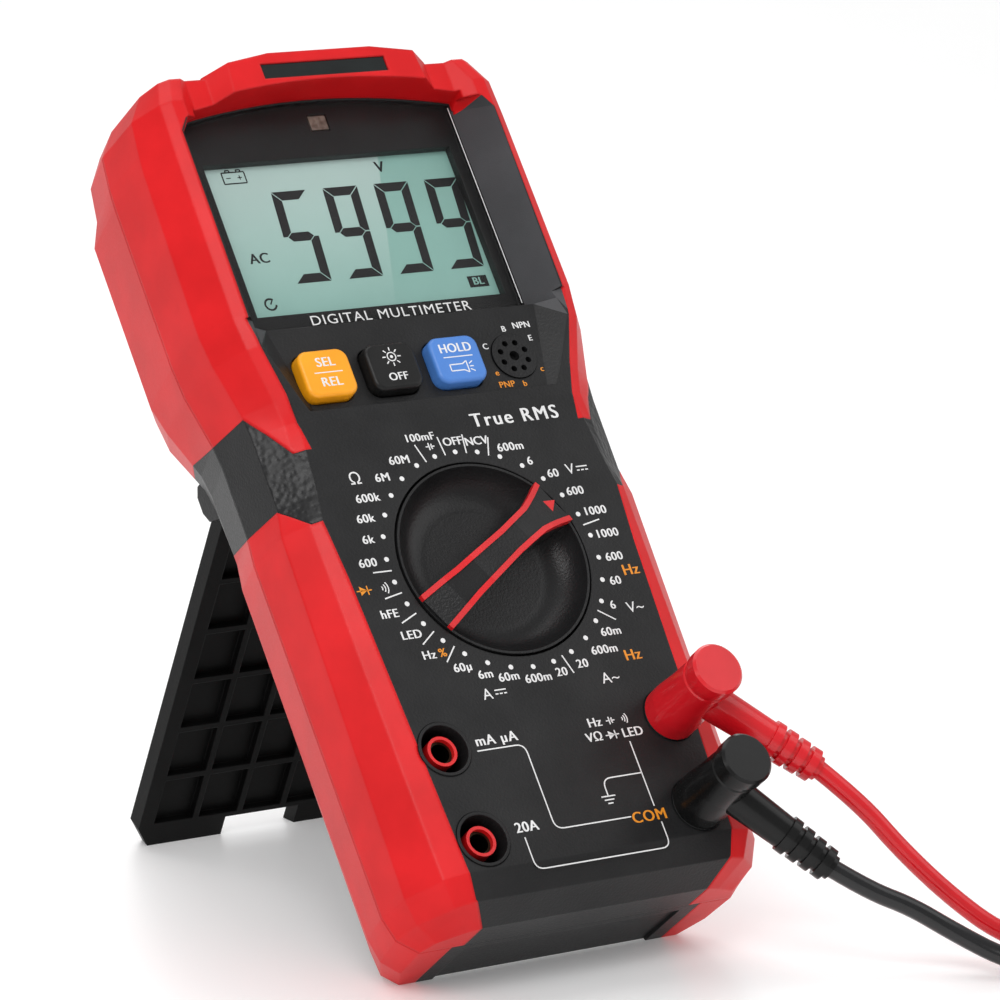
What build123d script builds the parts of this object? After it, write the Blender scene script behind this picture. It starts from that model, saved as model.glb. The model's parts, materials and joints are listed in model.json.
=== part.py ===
from build123d import *
from math import atan2, cos, degrees, hypot, pi, radians, sin, tan
import os

# A handheld digital multimeter that leans back on its open kickstand, with two test leads plugged in.
# It is drawn in the meter's own frame: x to the right, y up the face, z out of the face, with the centre of
# the selector dial at the origin and the dial face at z = 0. place() leans it back and stands it on the floor.

# ---- driving dimensions, millimetres and degrees ----
LEAN = 38.6  # how far the face leans back from upright
PARTING_Z = -17.0  # the front and rear halves meet here
WALL = 2.2  # case wall thickness
SKIN = 2.6  # thickness of the red overmoulded bumpers
REAR_LOW_Z = -35.6  # back of the lower half, where the folded stand lies
LENS_Z = -3.8  # outer face of the display lens
PANEL_Z = -0.6  # face of the button panel
LENS_HALF_WIDTH = 31.4
RIM = 0.3  # height of the black rim around the top of the lens
WINDOW_HALF_WIDTH = 29.2
WINDOW_Y = (60.3, 95.4)  # bottom and top of the visible display
DIAL_RECESS_RADIUS = 21.4
KNOB_RADIUS = 20.9
KNOB_DISH_Z = -4.8
POINTER_ANGLE = 30.0  # the knob's pointer, counterclockwise from x
SHAFT_RADIUS = 5.5
WELL_FLOOR_Z = -7.0
WELL_BOTTOM_Z = -9.4
BALL_RADIUS = 1.3
BALL_TRACK_RADIUS = 17.0
BALL_Z = -6.9
BUTTON_SIZE = (11.4, 10.4)
BUTTON_TOP_Z = 2.3
BUTTON_Y = 43.1
BUTTONS = {"select_button": -22.8, "backlight_button": -7.6, "hold_button": 7.4}
BUTTON_TRAVEL = 1.0
SOCKET_PLACE = (22.2, 43.6)
JACKS = {"ma": (-26.1, -38.0), "amp": (-24.8, -57.2), "volt": (26.1, -38.0), "com": (24.8, -57.2)}
JACK_BORE_RADIUS = 2.0
SLEEVE_RADIUS = 3.15
WELL_RADIUS = 5.0
COLLAR_RADIUS = 5.6
JACK_BOTTOM_Z = -17.0
BOARD_Z = (-14.8, -13.2)
BOSSES = [(-31.0, 15.6), (31.0, 15.6), (-30.5, 102.2), (30.5, 102.2)]
BOARD_SCREWS = [(-20.0, 30.0), (20.0, 30.0), (-13.0, -62.2), (13.0, -62.2)]
BAY = (-30.4, 30.4, -50.2, 8.2)  # battery bay: x and y limits
BAY_TOP_Z = -19.8
DOOR_SCREW_Y = 12.2
TORCH_Y = 87.0
STAND_PIVOT = (38.0, -38.0)  # y and z of the kickstand's pin
STAND_OPEN = 64.6  # how far the stand opens from its folded place
STAND_LENGTH = 96.0
STAND_HALF_WIDTH = 30.0
STAND_THICKNESS = 4.0
PIN_RADIUS = 1.5
RUNNING_GAP = 0.05
LEAD_RADIUS = 1.9
COIL_RADII = (18.0, 26.0)
COIL_HEIGHT = 12.0

os.makedirs("parts", exist_ok=True)

FLOOR_DROP = 71.6 * cos(radians(LEAN)) + 33.8 * sin(radians(LEAN))  # from the dial centre down to the feet
MID_DEPTH = 27.74  # from the dial centre back to the middle of the footprint


# ---- helpers ----
def block(x0, x1, y0, y1, z0, z1):
    """A box between two corners."""
    return Pos((x0 + x1) / 2, (y0 + y1) / 2, (z0 + z1) / 2) * Box(x1 - x0, y1 - y0, z1 - z0)


def rod(x, y, radius, z0, z1):
    """A cylinder along z between two heights."""
    return Pos(x, y, (z0 + z1) / 2) * Cylinder(radius, z1 - z0)


def ring(x, y, outer, inner, z0, z1):
    """A tube along z between two heights."""
    return rod(x, y, outer, z0, z1) - rod(x, y, inner, z0 - 1, z1 + 1)


def prism(points, z0, z1):
    """A straight prism over an outline of (x, y) points."""
    return extrude(Pos(0, 0, z0) * make_face(Polyline(*points, close=True)), z1 - z0, dir=(0, 0, 1))


def mirrored(points):
    """The right half of an outline, from the bottom up, with its mirror image added."""
    return list(points) + [(-x, y) for x, y in reversed(points)]


def pyramid(low, low_z, high, high_z):
    """A ruled solid between two outlines with the same number of points."""
    wires = [
        Wire.make_polygon([Vector(x, y, z) for x, y in outline], close=True)
        for outline, z in ((low, low_z), (high, high_z))
    ]
    return Solid.make_loft(wires, ruled=True)


def side_prism(points, half_width):
    """A prism across the whole width over an outline of (y, z) points."""
    wires = [
        Wire.make_polygon([Vector(x, y, z) for y, z in points], close=True) for x in (-half_width, half_width)
    ]
    return Solid.make_loft(wires, ruled=True)


def place(shape):
    """Leans the meter's frame back and stands it on the floor."""
    return Pos(0, -MID_DEPTH, FLOOR_DROP) * Rot(90 - LEAN, 0, 0) * shape


def placed_point(x, y, z):
    """Where a point of the meter's frame stands once it is leaned back."""
    lean = radians(LEAN)
    return (x, y * sin(lean) - z * cos(lean) - MID_DEPTH, y * cos(lean) + z * sin(lean) + FLOOR_DROP)


def solids_of(shape):
    return [s for s in shape.solids() if s.volume > 0.05]


def save(name, *shapes, leaned=True):
    """Writes one node: every solid of the shapes given."""
    found = [s for shape in shapes for s in solids_of(shape)]
    found = [place(s) if leaned else s for s in found]
    whole = found[0] if len(found) == 1 else Compound(children=found)
    whole.label = name
    export_step(whole, f"parts/{name}.step")
    return whole


# ---- the outer skin ----
# Cross-sections up the meter. Each has the face height, then the right half's corners as (x, z): face edge,
# front strip, crest, parting line, rear shoulder and rear corner.
SECTIONS = [
    (-71.6, -9.0, (26.0, -9.0), (29.5, -10.2), (34.5, -13.0), (36.2, -17.0), (35.6, -27.0), (32.5, -33.8)),
    (-68.4, -2.6, (29.4, -2.6), (33.4, -4.2), (38.8, -10.2), (40.2, -17.0), (38.6, -27.6), (34.6, -35.6)),
    (-63.4, 0.0, (30.2, 0.0), (35.2, -1.8), (40.6, -8.4), (41.6, -17.0), (39.2, -28.2), (35.0, -35.6)),
    (12.6, 0.0, (34.3, 0.0), (36.6, -1.4), (41.0, -5.6), (42.0, -17.0), (39.3, -28.6), (35.0, -35.6)),
    (18.4, 0.0, (33.4, 0.0), (35.6, -1.8), (39.9, -5.4), (41.4, -17.0), (38.2, -29.0), (34.0, -35.6)),
    (34.0, 0.0, (31.8, 0.0), (34.6, -1.0), (40.1, -5.2), (41.4, -17.0), (38.2, -29.4), (34.0, -36.6)),
    (39.0, 1.2, (33.0, 1.2), (35.6, -0.2), (40.5, -5.1), (41.9, -17.0), (38.6, -30.0), (34.6, -37.0)),
    (50.0, 3.1, (36.1, 3.1), (38.6, 1.9), (43.2, -4.8), (44.2, -17.0), (41.6, -32.0), (37.4, -40.2)),
    (57.0, 3.7, (36.8, 3.7), (39.4, 2.2), (44.0, -4.7), (44.7, -17.0), (42.3, -33.6), (38.0, -40.6)),
    (94.0, 4.1, (36.8, 4.1), (39.2, 2.4), (43.6, -4.1), (44.7, -17.0), (42.3, -33.6), (38.0, -40.6)),
    (98.0, 4.1, (36.8, 4.1), (39.1, 2.5), (43.4, -3.9), (44.5, -17.0), (41.9, -29.9), (37.4, -36.0)),
    (105.5, 4.0, (36.8, 4.0), (38.9, 2.5), (42.6, -3.6), (43.6, -17.0), (41.0, -29.4), (36.8, -35.4)),
    (111.4, 2.4, (34.6, 2.4), (36.6, 1.0), (38.6, -3.8), (39.4, -17.0), (37.6, -27.6), (34.0, -33.0)),
]


def skin(inset=0.0, y_low=-72.0, y_high=112.0):
    """The faceted outer form, or the same form drawn in by the same amount all round."""
    wires = []
    for y, face, *corners in SECTIONS:
        half = [(0.0, face - inset)]
        for k, (x, z) in enumerate(corners):
            lift = -inset if k < 3 else (0.0 if k == 3 else inset)
            half.append((x - inset, z + lift))
        half.append((0.0, corners[-1][1] + inset))
        outline = half + [(-x, z) for x, z in reversed(half[1:-1])]
        wires.append(Wire.make_polygon([Vector(x, y, z) for x, z in outline], close=True))
    whole = Solid.make_loft(wires, ruled=True)
    return whole & block(-60, 60, y_low, y_high, -60, 20)


# The lens fills an arched outline; the arch's middle stands above its ends.
ARCH_ENDS_Y = 104.3
ARCH_TOP_Y = 107.7


def arched(half_width, y_low, y_end, y_top, z0, z1):
    """A plate with straight sides and an arched top."""
    edges = [
        Line((-half_width, y_end), (-half_width, y_low)),
        Line((-half_width, y_low), (half_width, y_low)),
        Line((half_width, y_low), (half_width, y_end)),
        ThreePointArc((half_width, y_end), (0, y_top), (-half_width, y_end)),
    ]
    return extrude(Pos(0, 0, z0) * make_face(Curve() + edges), z1 - z0, dir=(0, 0, 1))


def brow():
    """The raised block in the middle of the top edge."""
    low = mirrored([(26.6, 100.0), (26.4, 112.0), (14.0, 114.6)])
    high = mirrored([(23.2, 100.0), (21.8, 112.8), (12.0, 114.4)])
    front = pyramid(low, 0.8, high, 5.0)
    back = pyramid(mirrored([(25.0, 100.0), (24.0, 110.0), (12.0, 112.2)]), -26.0, low, 0.8)
    return front + back


def display_recess():
    """The sunken bay that holds the lens, with sloped side walls and a straight wall under the brow."""
    low = mirrored([(31.6, 55.4), (31.6, 102.6), (30.2, ARCH_ENDS_Y)])
    high = mirrored([(37.2, 54.0), (37.2, 98.6), (34.9, 101.6)])
    sloped = pyramid(low, LENS_Z, high, 5.0)
    return sloped + arched(31.6, 56.0, ARCH_ENDS_Y, ARCH_TOP_Y, LENS_Z, 9.0)


def panel_recess():
    """The shallow bay of the button panel, with textured side facets."""
    low = mirrored([(27.3, 36.2), (31.7, 56.2)])
    high = mirrored([(36.0, 35.0), (40.6, 56.2)])
    return pyramid(low, PANEL_Z, high, 5.4)


def valley():
    """The low stretch between the corner strips along the top edge."""
    low = mirrored([(30.6, 99.0), (30.6, 120.0)])
    high = mirrored([(38.0, 99.0), (38.0, 120.0)])
    return pyramid(low, 1.3, high, 7.0)


# The face opening between the bumpers: right half, from the bottom end up.
OPENING = [(24.5, -74.0), (26.0, -71.6), (29.4, -68.0), (30.3, -62.7), (32.0, -25.0), (33.2, 0.0), (34.3, 12.6)]
OPENING += [(31.1, 28.0), (33.2, 40.0), (36.1, 50.0), (36.8, 56.0), (36.8, 98.8), (34.9, 101.6)]
# The black waist between the upper and lower bumpers, seen from the side as (y, z).
WAIST = [(12.6, 3.0), (12.6, -1.2), (18.0, -5.6), (18.1, -17.0), (20.5, -29.0), (21.5, -45.0)]
WAIST += [(42.6, -45.0), (41.6, -30.0), (38.7, -17.0), (38.4, -5.2), (28.0, -1.2), (28.0, 3.0)]
REAR_PANEL = [(28.0, -74.0), (31.4, -64.0), (31.4, 20.0), (31.4, 48.0), (33.0, 56.0), (33.0, 96.0), (28.0, 101.0)]

outer = skin()
form = outer - valley() + brow() - panel_recess() - display_recess()
# Along the top edge the red overmoulding reaches in to the lens and down to a thin black rim around it.
top_band = block(-60, 60, 101.6, 120, LENS_Z + RIM, 20)
inner = skin(SKIN, -69.0, 108.6) - top_band
black_zone = (
    prism(mirrored(OPENING), PARTING_Z, 12.0)
    + arched(31.6, 90.0, ARCH_ENDS_Y, ARCH_TOP_Y, PARTING_Z, LENS_Z + 0.001)
    + prism(mirrored(REAR_PANEL), -50.0, PARTING_Z)
    + side_prism(WAIST, 60)
    + inner
)
black = form & black_zone
red = form - black_zone
front_half = block(-60, 60, -80, 120, PARTING_Z, 20)
rear_half = block(-60, 60, -80, 120, -60, PARTING_Z)
upper = block(-60, 60, 24.0, 120, -60, 20)
lower_left = block(-60, 0, -80, 24.0, -60, 20)
lower_right = block(0, 60, -80, 24.0, -60, 20)

# ---- front case ----
cavity = skin(SKIN + WALL, -66.6, 104.0) & block(-60, 60, -80, 120, -60, -WALL)
display_bay = block(-34.5, 34.5, 53.6, 112, -7.2, 20)
panel_bay = block(-34.5, 34.5, 35.0, 53.8, PANEL_Z - WALL, 20)
front_cavity = cavity - display_bay - panel_bay
front_case = (black & front_half) - front_cavity
front_case = front_case + rod(0, 0, DIAL_RECESS_RADIUS + 1.8, WELL_BOTTOM_Z, -1.0)
front_case = front_case - rod(0, 0, DIAL_RECESS_RADIUS, WELL_FLOOR_Z, 5.0)
front_case = front_case - rod(0, 0, SHAFT_RADIUS + RUNNING_GAP, -12.0, 0.0)
front_case = front_case - Pos(0, 0, BALL_Z) * Torus(BALL_TRACK_RADIUS, BALL_RADIUS + 0.15)
front_case = front_case - arched(LENS_HALF_WIDTH + 0.1, 56.1, ARCH_ENDS_Y - 0.2, ARCH_TOP_Y - 0.2, -5.3, 5.0)
front_case = front_case - block(-WINDOW_HALF_WIDTH, WINDOW_HALF_WIDTH, *WINDOW_Y, -9.0, -4.0)
front_case = front_case - block(-1.6, 3.0, 101.4, 105.2, -9.0, -4.0)
for x in BUTTONS.values():
    hole = RectangleRounded(BUTTON_SIZE[0] + 0.6, BUTTON_SIZE[1] + 0.6, 2.7)
    front_case = front_case - extrude(Pos(x, BUTTON_Y, -6.0) * hole, 12)
    pocket = RectangleRounded(BUTTON_SIZE[0] + 2.6, BUTTON_SIZE[1] + 2.6, 2.9)
    front_case = front_case - extrude(Pos(x, BUTTON_Y, -8.0) * pocket, 8.0 - 2.86)
front_case = front_case - rod(*SOCKET_PLACE, 5.1, -6.0, 5.0)
for x, y in JACKS.values():
    front_case = front_case - rod(x, y, COLLAR_RADIUS + 0.1, -8.0, 5.0)
for x, y in BOSSES:
    front_case = front_case + (rod(x, y, 3.0, PARTING_Z, -4.0 if y < 50 else -7.0) & black)
    front_case = front_case - rod(x, y, 1.2, PARTING_Z - 1, -9.0)
for x, y in BOARD_SCREWS:
    front_case = front_case + ring(x, y, 2.6, 1.0, BOARD_Z[1], -4.0)
save("front_case", front_case)

# ---- rear case ----
rear_cavity = skin(SKIN + WALL, -66.6, 104.0) & block(-60, 60, -80, 120, -60, 20)
rear_case = (black & rear_half) - rear_cavity
stand_bay = block(-STAND_HALF_WIDTH - 0.6, STAND_HALF_WIDTH + 0.6, 20.0, 42.4, -50, -34.2)
pivot_place = Pos(0, *STAND_PIVOT) * Rot(0, 90, 0)
rear_case = rear_case - stand_bay - pivot_place * Cylinder(3.8, 2 * STAND_HALF_WIDTH + 1.2)
LUG = [(31.0, -33.0), (33.4, -40.0), (36.0, -41.4), (39.6, -41.4), (41.4, -40.0), (41.4, -33.0)]
lugs = side_prism(LUG, 34.2) - block(-STAND_HALF_WIDTH - 0.6, STAND_HALF_WIDTH + 0.6, 0, 60, -60, 0)
rear_case = rear_case + lugs - pivot_place * Cylinder(PIN_RADIUS, 66.0)
tray = block(BAY[0] - 1.6, BAY[1] + 1.6, BAY[2] - 1.6, BAY[3] + 1.6, REAR_LOW_Z, BAY_TOP_Z + 1.0)
rear_case = rear_case + (tray & inner) - block(*BAY, -60, BAY_TOP_Z)
rear_case = rear_case + rod(0, DOOR_SCREW_Y, 3.4, -34.4, -24.0) - rod(0, DOOR_SCREW_Y, 1.3, -60, -25.4)
rear_case = rear_case - block(-5.5, 5.5, BAY[3] - 1, DOOR_SCREW_Y + 4.4, -60, -34.4)
for x, y in BOSSES:
    rear_case = rear_case + (rod(x, y, 4.3, -60, PARTING_Z) & black)
    rear_case = rear_case - rod(x, y, 1.7, -30.0, PARTING_Z + 1) - rod(x, y, 3.1, -60.0, -29.0)
rear_case = rear_case - rod(0, TORCH_Y, 4.1, -60, -30.0) - block(-25.0, 25.0, -75.0, -71.0, -60, PARTING_Z - 2.0)
save("rear_case", rear_case)

# ---- bumpers ----
window_slot = block(-14.6, 14.6, 108.5, 112.0, 2.2, 9.0) + block(-2.9, 2.9, 108.8, 111.6, -0.5, 2.3)
save("upper_front_bumper", (red & front_half & upper) - window_slot)
screw_wells = [rod(x, y, 3.1, -60.0, -29.0) for x, y in BOSSES]
save("upper_rear_bumper", (red & rear_half & upper) - screw_wells)
for side, zone in (("left", lower_left), ("right", lower_right)):
    collars = [rod(x, y, COLLAR_RADIUS + 0.1, -9.0, 5.0) for x, y in JACKS.values()]
    save(f"lower_{side}_front_bumper", (red & front_half & zone) - collars)
    save(f"lower_{side}_rear_bumper", (red & rear_half & zone) - screw_wells)

# ---- display ----
lens = arched(LENS_HALF_WIDTH, 56.2, ARCH_ENDS_Y - 0.3, ARCH_TOP_Y - 0.3, -5.0, LENS_Z)
save("display_lens", lens)
save("lcd_panel", block(-31.0, 31.0, 58.4, 97.2, -9.6, -7.3))
frame = block(-33.0, 33.0, 57.0, 98.6, -12.8, -7.3) - block(-31.1, 31.1, 58.3, 97.3, -13.0, -7.0)
save("lcd_frame", frame)
save("lcd_backlight", block(-31.0, 31.0, 62.6, 93.0, -12.0, -9.7))
strips = [block(-28, 28, y, y + 2.0, BOARD_Z[1], -9.6) for y in (59.2, 94.6)]
save("lcd_contact_strips", *strips)
save("light_sensor", block(-1.3, 2.7, 101.7, 104.9, -7.0, -5.4))
save("ncv_window", block(-14.5, 14.5, 108.6, 111.9, 2.3, 4.7))
save("ncv_lamp", block(-2.6, 2.6, 109.0, 111.4, -0.4, 1.9))

# ---- selector ----
dish_edge = KNOB_RADIUS - 0.5
disc_outline = [
    Line((0, -6.4), (0, KNOB_DISH_Z)),
    Line((0, KNOB_DISH_Z), (12.6, KNOB_DISH_Z)),
    ThreePointArc((12.6, KNOB_DISH_Z), (17.9, -3.3), (dish_edge, 0.2)),
    Line((dish_edge, 0.2), (KNOB_RADIUS, 0.2)),
    Line((KNOB_RADIUS, 0.2), (KNOB_RADIUS, -6.4)),
    Line((KNOB_RADIUS, -6.4), (0, -6.4)),
]
disc = revolve(Plane.XZ * make_face(Curve() + disc_outline), Axis.Z)
# The grip bar's half width along its length, from the tail to the pointer.
GRIP = [(-20.4, 4.5), (-12.0, 3.7), (2.0, 3.2), (11.0, 3.4), (16.0, 4.3), (20.4, 5.3)]
RIDGE_WIDTH = 1.15
RIDGE_RISE = 0.45


def grip_profile(rise):
    """The bar seen from the side: tail, crown and pointer end."""
    crown = [(-20.8, 0.5), (-15.5, 3.6), (-8.0, 5.0), (6.0, 5.0), (13.5, 3.4), (20.8, 0.7)]
    low = [(s, KNOB_DISH_Z - 0.6) for s in (20.8, -20.8)]
    points = [(s, z + rise) for s, z in crown] + low
    wires = [Wire.make_polygon([Vector(s, y, z) for s, z in points], close=True) for y in (-8, 8)]
    return Solid.make_loft(wires, ruled=True)


grip_plan = GRIP + [(s, -h) for s, h in reversed(GRIP)]
core_plan = [(s, h - RIDGE_WIDTH) for s, h in GRIP]
core_plan = core_plan + [(s, -h) for s, h in reversed(core_plan)]
ridge_zone = prism(grip_plan, -8, 10) - prism(core_plan, -9, 11)
ridges = (grip_profile(RIDGE_RISE) & ridge_zone) - (grip_profile(-1.3) & prism(grip_plan, -8, 10))
arrow = prism([(19.9, 0.0), (16.6, 2.0), (17.4, 0.0), (16.6, -2.0)], -2.0, 1.9)
grip = grip_profile(0.0) & prism(grip_plan, -8, 10)
rim = rod(0, 0, KNOB_RADIUS - 0.15, -8, 10)
turned = Rot(0, 0, POINTER_ANGLE)
knob_trim = turned * ((ridges + arrow) & rim)
knob = disc + turned * (grip & rim) + rod(0, 0, SHAFT_RADIUS, -9.2, -6.0)
knob = knob - knob_trim - ring(0, 0, 18.5, 15.5, -8.0, -5.2)
save("selector_knob", knob)
save("knob_trim", knob_trim)
save("detent_spring", ring(0, 0, 18.3, 15.7, BALL_Z + BALL_RADIUS, -5.2))
TRACK = BALL_TRACK_RADIUS
save("detent_balls", *[Pos(x, 0, BALL_Z) * Sphere(BALL_RADIUS) for x in (-TRACK, TRACK)])
rotor = rod(0, 0, 16.5, -11.6, -9.8) + rod(0, 0, SHAFT_RADIUS, -11.6, -9.2)
save("switch_rotor", rotor)
wipers = [ring(0, 0, r + 1.2, r, -13.1, -11.6) & block(0, 20, -4, 4, -14, -11) for r in (8, 11, 14)]
save("switch_wipers", *wipers)

# ---- buttons ----
for name, x in BUTTONS.items():
    top = extrude(Pos(x, BUTTON_Y, -3.6) * RectangleRounded(*BUTTON_SIZE, 2.4), BUTTON_TOP_Z + 3.6)
    top = fillet(top.faces().sort_by(Axis.Z)[-1].edges(), 0.9)
    flange = extrude(Pos(x, BUTTON_Y, -3.7) * RectangleRounded(BUTTON_SIZE[0] + 2, BUTTON_SIZE[1] + 2, 2.6), 0.8)
    save(name, top + flange)
pad = block(-30.6, 14.8, 36.4, 49.8, BOARD_Z[1], -12.2)
for x in BUTTONS.values():
    pad = pad + Pos(x, BUTTON_Y, -9.0) * Cone(4.6, 3.2, 6.4)
save("button_pad", pad)
socket = rod(*SOCKET_PLACE, 5.0, BOARD_Z[1], -0.3)
for k in range(8):
    turn = radians(45 * k + 22.5)
    socket = socket - rod(SOCKET_PLACE[0] + 3.1 * cos(turn), SOCKET_PLACE[1] + 3.1 * sin(turn), 0.65, -9.0, 1.0)
save("transistor_socket", socket - rod(*SOCKET_PLACE, 1.1, -2.0, 1.0))

# ---- jacks ----
jack_block = block(-31.5, 31.5, -64.5, -30.5, JACK_BOTTOM_Z - 1.6, JACK_BOTTOM_Z)
for x, y in JACKS.values():
    jack_block = jack_block + ring(x, y, COLLAR_RADIUS, WELL_RADIUS, JACK_BOTTOM_Z, 0.25)
save("jack_block", jack_block)
save("jack_sleeves", *[ring(x, y, SLEEVE_RADIUS, 2.5, JACK_BOTTOM_Z, -0.9) for x, y in JACKS.values()])
save("jack_contacts", *[ring(x, y, 2.5, JACK_BORE_RADIUS, JACK_BOTTOM_Z, -2.0) for x, y in JACKS.values()])

# ---- inside ----
board = block(-33.5, 33.5, -28.5, 99.5, *BOARD_Z) & skin(SKIN + WALL + 0.3, -66.3, 103)
board = board + block(-18.0, 18.0, -65.4, -28.0, *BOARD_Z)
for x, y in BOSSES:
    board = board - rod(x, y, 3.3, -20, 0)
for x, y in BOARD_SCREWS:
    board = board - rod(x, y, 1.1, -20, 0)
save("main_board", board)
board_screws = [rod(x, y, 2.2, -16.2, BOARD_Z[0]) + rod(x, y, 0.95, BOARD_Z[0], -9.0) for x, y in BOARD_SCREWS]
save("board_screws", *board_screws)
FUSE_X = 8.0
FUSE_Z = -9.0
fuses, clips = [], []
for x in (-FUSE_X, FUSE_X):
    fuses.append(Pos(x, -45, FUSE_Z) * Rot(90, 0, 0) * Cylinder(3.1, 26))
    for y in (-55.0, -35.0):
        clip = block(x - 3.8, x + 3.8, y - 2, y + 2, BOARD_Z[1], -7.0)
        clips.append(clip - block(x - 3.15, x + 3.15, y - 3, y + 3, FUSE_Z - 3.15, 0))
save("fuses", *fuses)
save("fuse_clips", *clips)
shunt = block(-20.0, 20.0, -60.4, -58.8, -22.0, -18.6) - block(-17.0, 17.0, -61, -58, -20.4, -18.0)
save("current_shunt", shunt)
save("buzzer", rod(-20.0, 80.0, 7.0, -19.6, BOARD_Z[0]) - rod(-20.0, 80.0, 1.2, -20, -17))
CELL_PITCH = 15.1
CELL_RADIUS = 7.1
CELL_Z = BAY_TOP_Z - CELL_RADIUS - 0.1
CELL_MID_Y = (BAY[2] + BAY[3]) / 2
lengthwise = Rot(90, 0, 0)
cells, contacts = [], []
for k in range(4):
    x = (k - 1.5) * CELL_PITCH
    end = 1 if k % 2 else -1
    cell = Pos(x, CELL_MID_Y - 0.7 * end, CELL_Z) * lengthwise * Cylinder(CELL_RADIUS, 49.2)
    cells.append(cell + Pos(x, CELL_MID_Y + 24.6 * end, CELL_Z) * lengthwise * Cylinder(2.7, 1.4))
    contacts.append(Pos(x, CELL_MID_Y - 26.8 * end, CELL_Z) * lengthwise * Cylinder(3.0, 2.8))
for x, y, half in ((-15.1, 28.5, 12), (15.1, 28.5, 12), (0, -28.5, 12), (-24, -28.5, 5), (24, -28.5, 5)):
    contacts.append(block(x - half, x + half, CELL_MID_Y + y - 0.3, CELL_MID_Y + y + 0.3, -33.0, -22.5))
save("battery_cells", *cells)
save("battery_contacts", *contacts)
door = block(BAY[0] + 0.3, BAY[1] - 0.3, BAY[2] + 0.3, BAY[3] - 0.3, REAR_LOW_Z, -34.4)
door = door + block(-5.2, 5.2, BAY[3] - 1, DOOR_SCREW_Y + 4.2, REAR_LOW_Z, -34.5)
save("battery_door", door - rod(0, DOOR_SCREW_Y, 1.7, -50, -20))
save("battery_door_screw", rod(0, DOOR_SCREW_Y, 1.6, -35.5, -34.4) + rod(0, DOOR_SCREW_Y, 1.25, -34.4, -26.0))
screws = []
for x, y in BOSSES:
    screws.append(rod(x, y, 2.8, -31.0, -29.0) + rod(x, y, 1.15, -29.0, -10.0))
save("case_screws", *screws)
save("torch_lens", rod(0, TORCH_Y, 4.0, -40.4, -37.4) - rod(0, TORCH_Y, 2.6, -45, -39.0))
save("torch_lamp", rod(0, TORCH_Y, 2.4, -37.3, -31.0))

# ---- kickstand ----
# The stand is drawn folded flat against the back, then swung open about its pin.
pivot_y, pivot_z = STAND_PIVOT
toe_y = pivot_y - STAND_LENGTH
back_z = pivot_z - 2.0
corner = 6.2
stand_outline = mirrored([(STAND_HALF_WIDTH - corner, toe_y), (STAND_HALF_WIDTH, toe_y + 9.4), (STAND_HALF_WIDTH, pivot_y)])
plate = prism(stand_outline, back_z, back_z + STAND_THICKNESS)
RIB = 1.4
for column in range(5):
    for row in range(6):
        x0 = -26.6 + column * 10.7
        y0 = toe_y + 10.6 + row * 13.0
        pocket = block(x0, x0 + 10.7 - RIB, y0, y0 + 13.0 - RIB, back_z + 2.4, 0)
        plate = plate - pocket
NOTCH_HALF_WIDTH = 9.0
plate = plate - block(-NOTCH_HALF_WIDTH, NOTCH_HALF_WIDTH, toe_y - 1, toe_y + 9.4, -60, 0)
stand = plate + pivot_place * Cylinder(3.0, 2 * STAND_HALF_WIDTH)
stand = stand - pivot_place * Cylinder(PIN_RADIUS + RUNNING_GAP, 80)
opened = Pos(0, pivot_y, pivot_z) * Rot(STAND_OPEN, 0, 0) * Pos(0, -pivot_y, -pivot_z) * stand
floor_slab = Pos(0, 0, -50) * Box(400, 400, 100)
standing = place(opened) - floor_slab
save("kickstand", standing, leaned=False)
save("stand_pin", pivot_place * Cylinder(PIN_RADIUS, 65.6))

# ---- plugs ----
PLUG_REACH = {"red": (29.0, -43.5, 10.5), "black": (27.5, -49.5, 9.0)}  # arm length, turn and height
PLUG_JACK = {"red": JACKS["volt"], "black": JACKS["com"]}
barrel_outline = Polyline(
    (0, 0.5), (5.7, 0.5), (5.7, 4.0), (5.3, 9.0), (5.1, 15.6), (4.9, 16.0), (4.9, 17.0), (5.4, 17.6), (5.4, 20.2),
    (4.9, 20.7), (0, 20.7), close=True,
)
barrel = revolve(Plane.XZ * make_face(barrel_outline), Axis.Z)
shroud = ring(0, 0, WELL_RADIUS - 0.1, SLEEVE_RADIUS + 0.1, -15.0, 0.6)
pin = rod(0, 0, 1.95, -16.6, 5.0)
RIB_PITCH = 2.9


def arm(length, turn, height):
    """The plug's side arm and its ribbed strain relief."""
    first_rib = length - 4 * RIB_PITCH
    shape = Pos(0, 0, 0) * Rot(0, 90, 0) * (Pos(0, 0, first_rib / 2) * Cone(3.9, 3.4, first_rib))
    for k in range(4):
        radius = 3.9 - 0.15 * k
        rib = Pos(0, 0, first_rib + k * RIB_PITCH + 0.9) * Cylinder(radius, 1.8)
        neck = Pos(0, 0, first_rib + (k + 0.5) * RIB_PITCH) * Cylinder(radius - 0.9, RIB_PITCH)
        shape = shape + Rot(0, 90, 0) * rib + Rot(0, 90, 0) * neck
    return Pos(0, 0, height) * Rot(0, 0, turn) * shape


EXITS = {}
for colour, (length, turn, height) in PLUG_REACH.items():
    x, y = PLUG_JACK[colour]
    shell = Pos(x, y, 0) * (barrel + arm(length, turn, height) + shroud - pin)
    save(f"{colour}_plug", shell)
    save(f"{colour}_plug_pin", Pos(x, y, 0) * pin)
    EXITS[colour] = placed_point(x + length * cos(radians(turn)), y + length * sin(radians(turn)), height)

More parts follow.
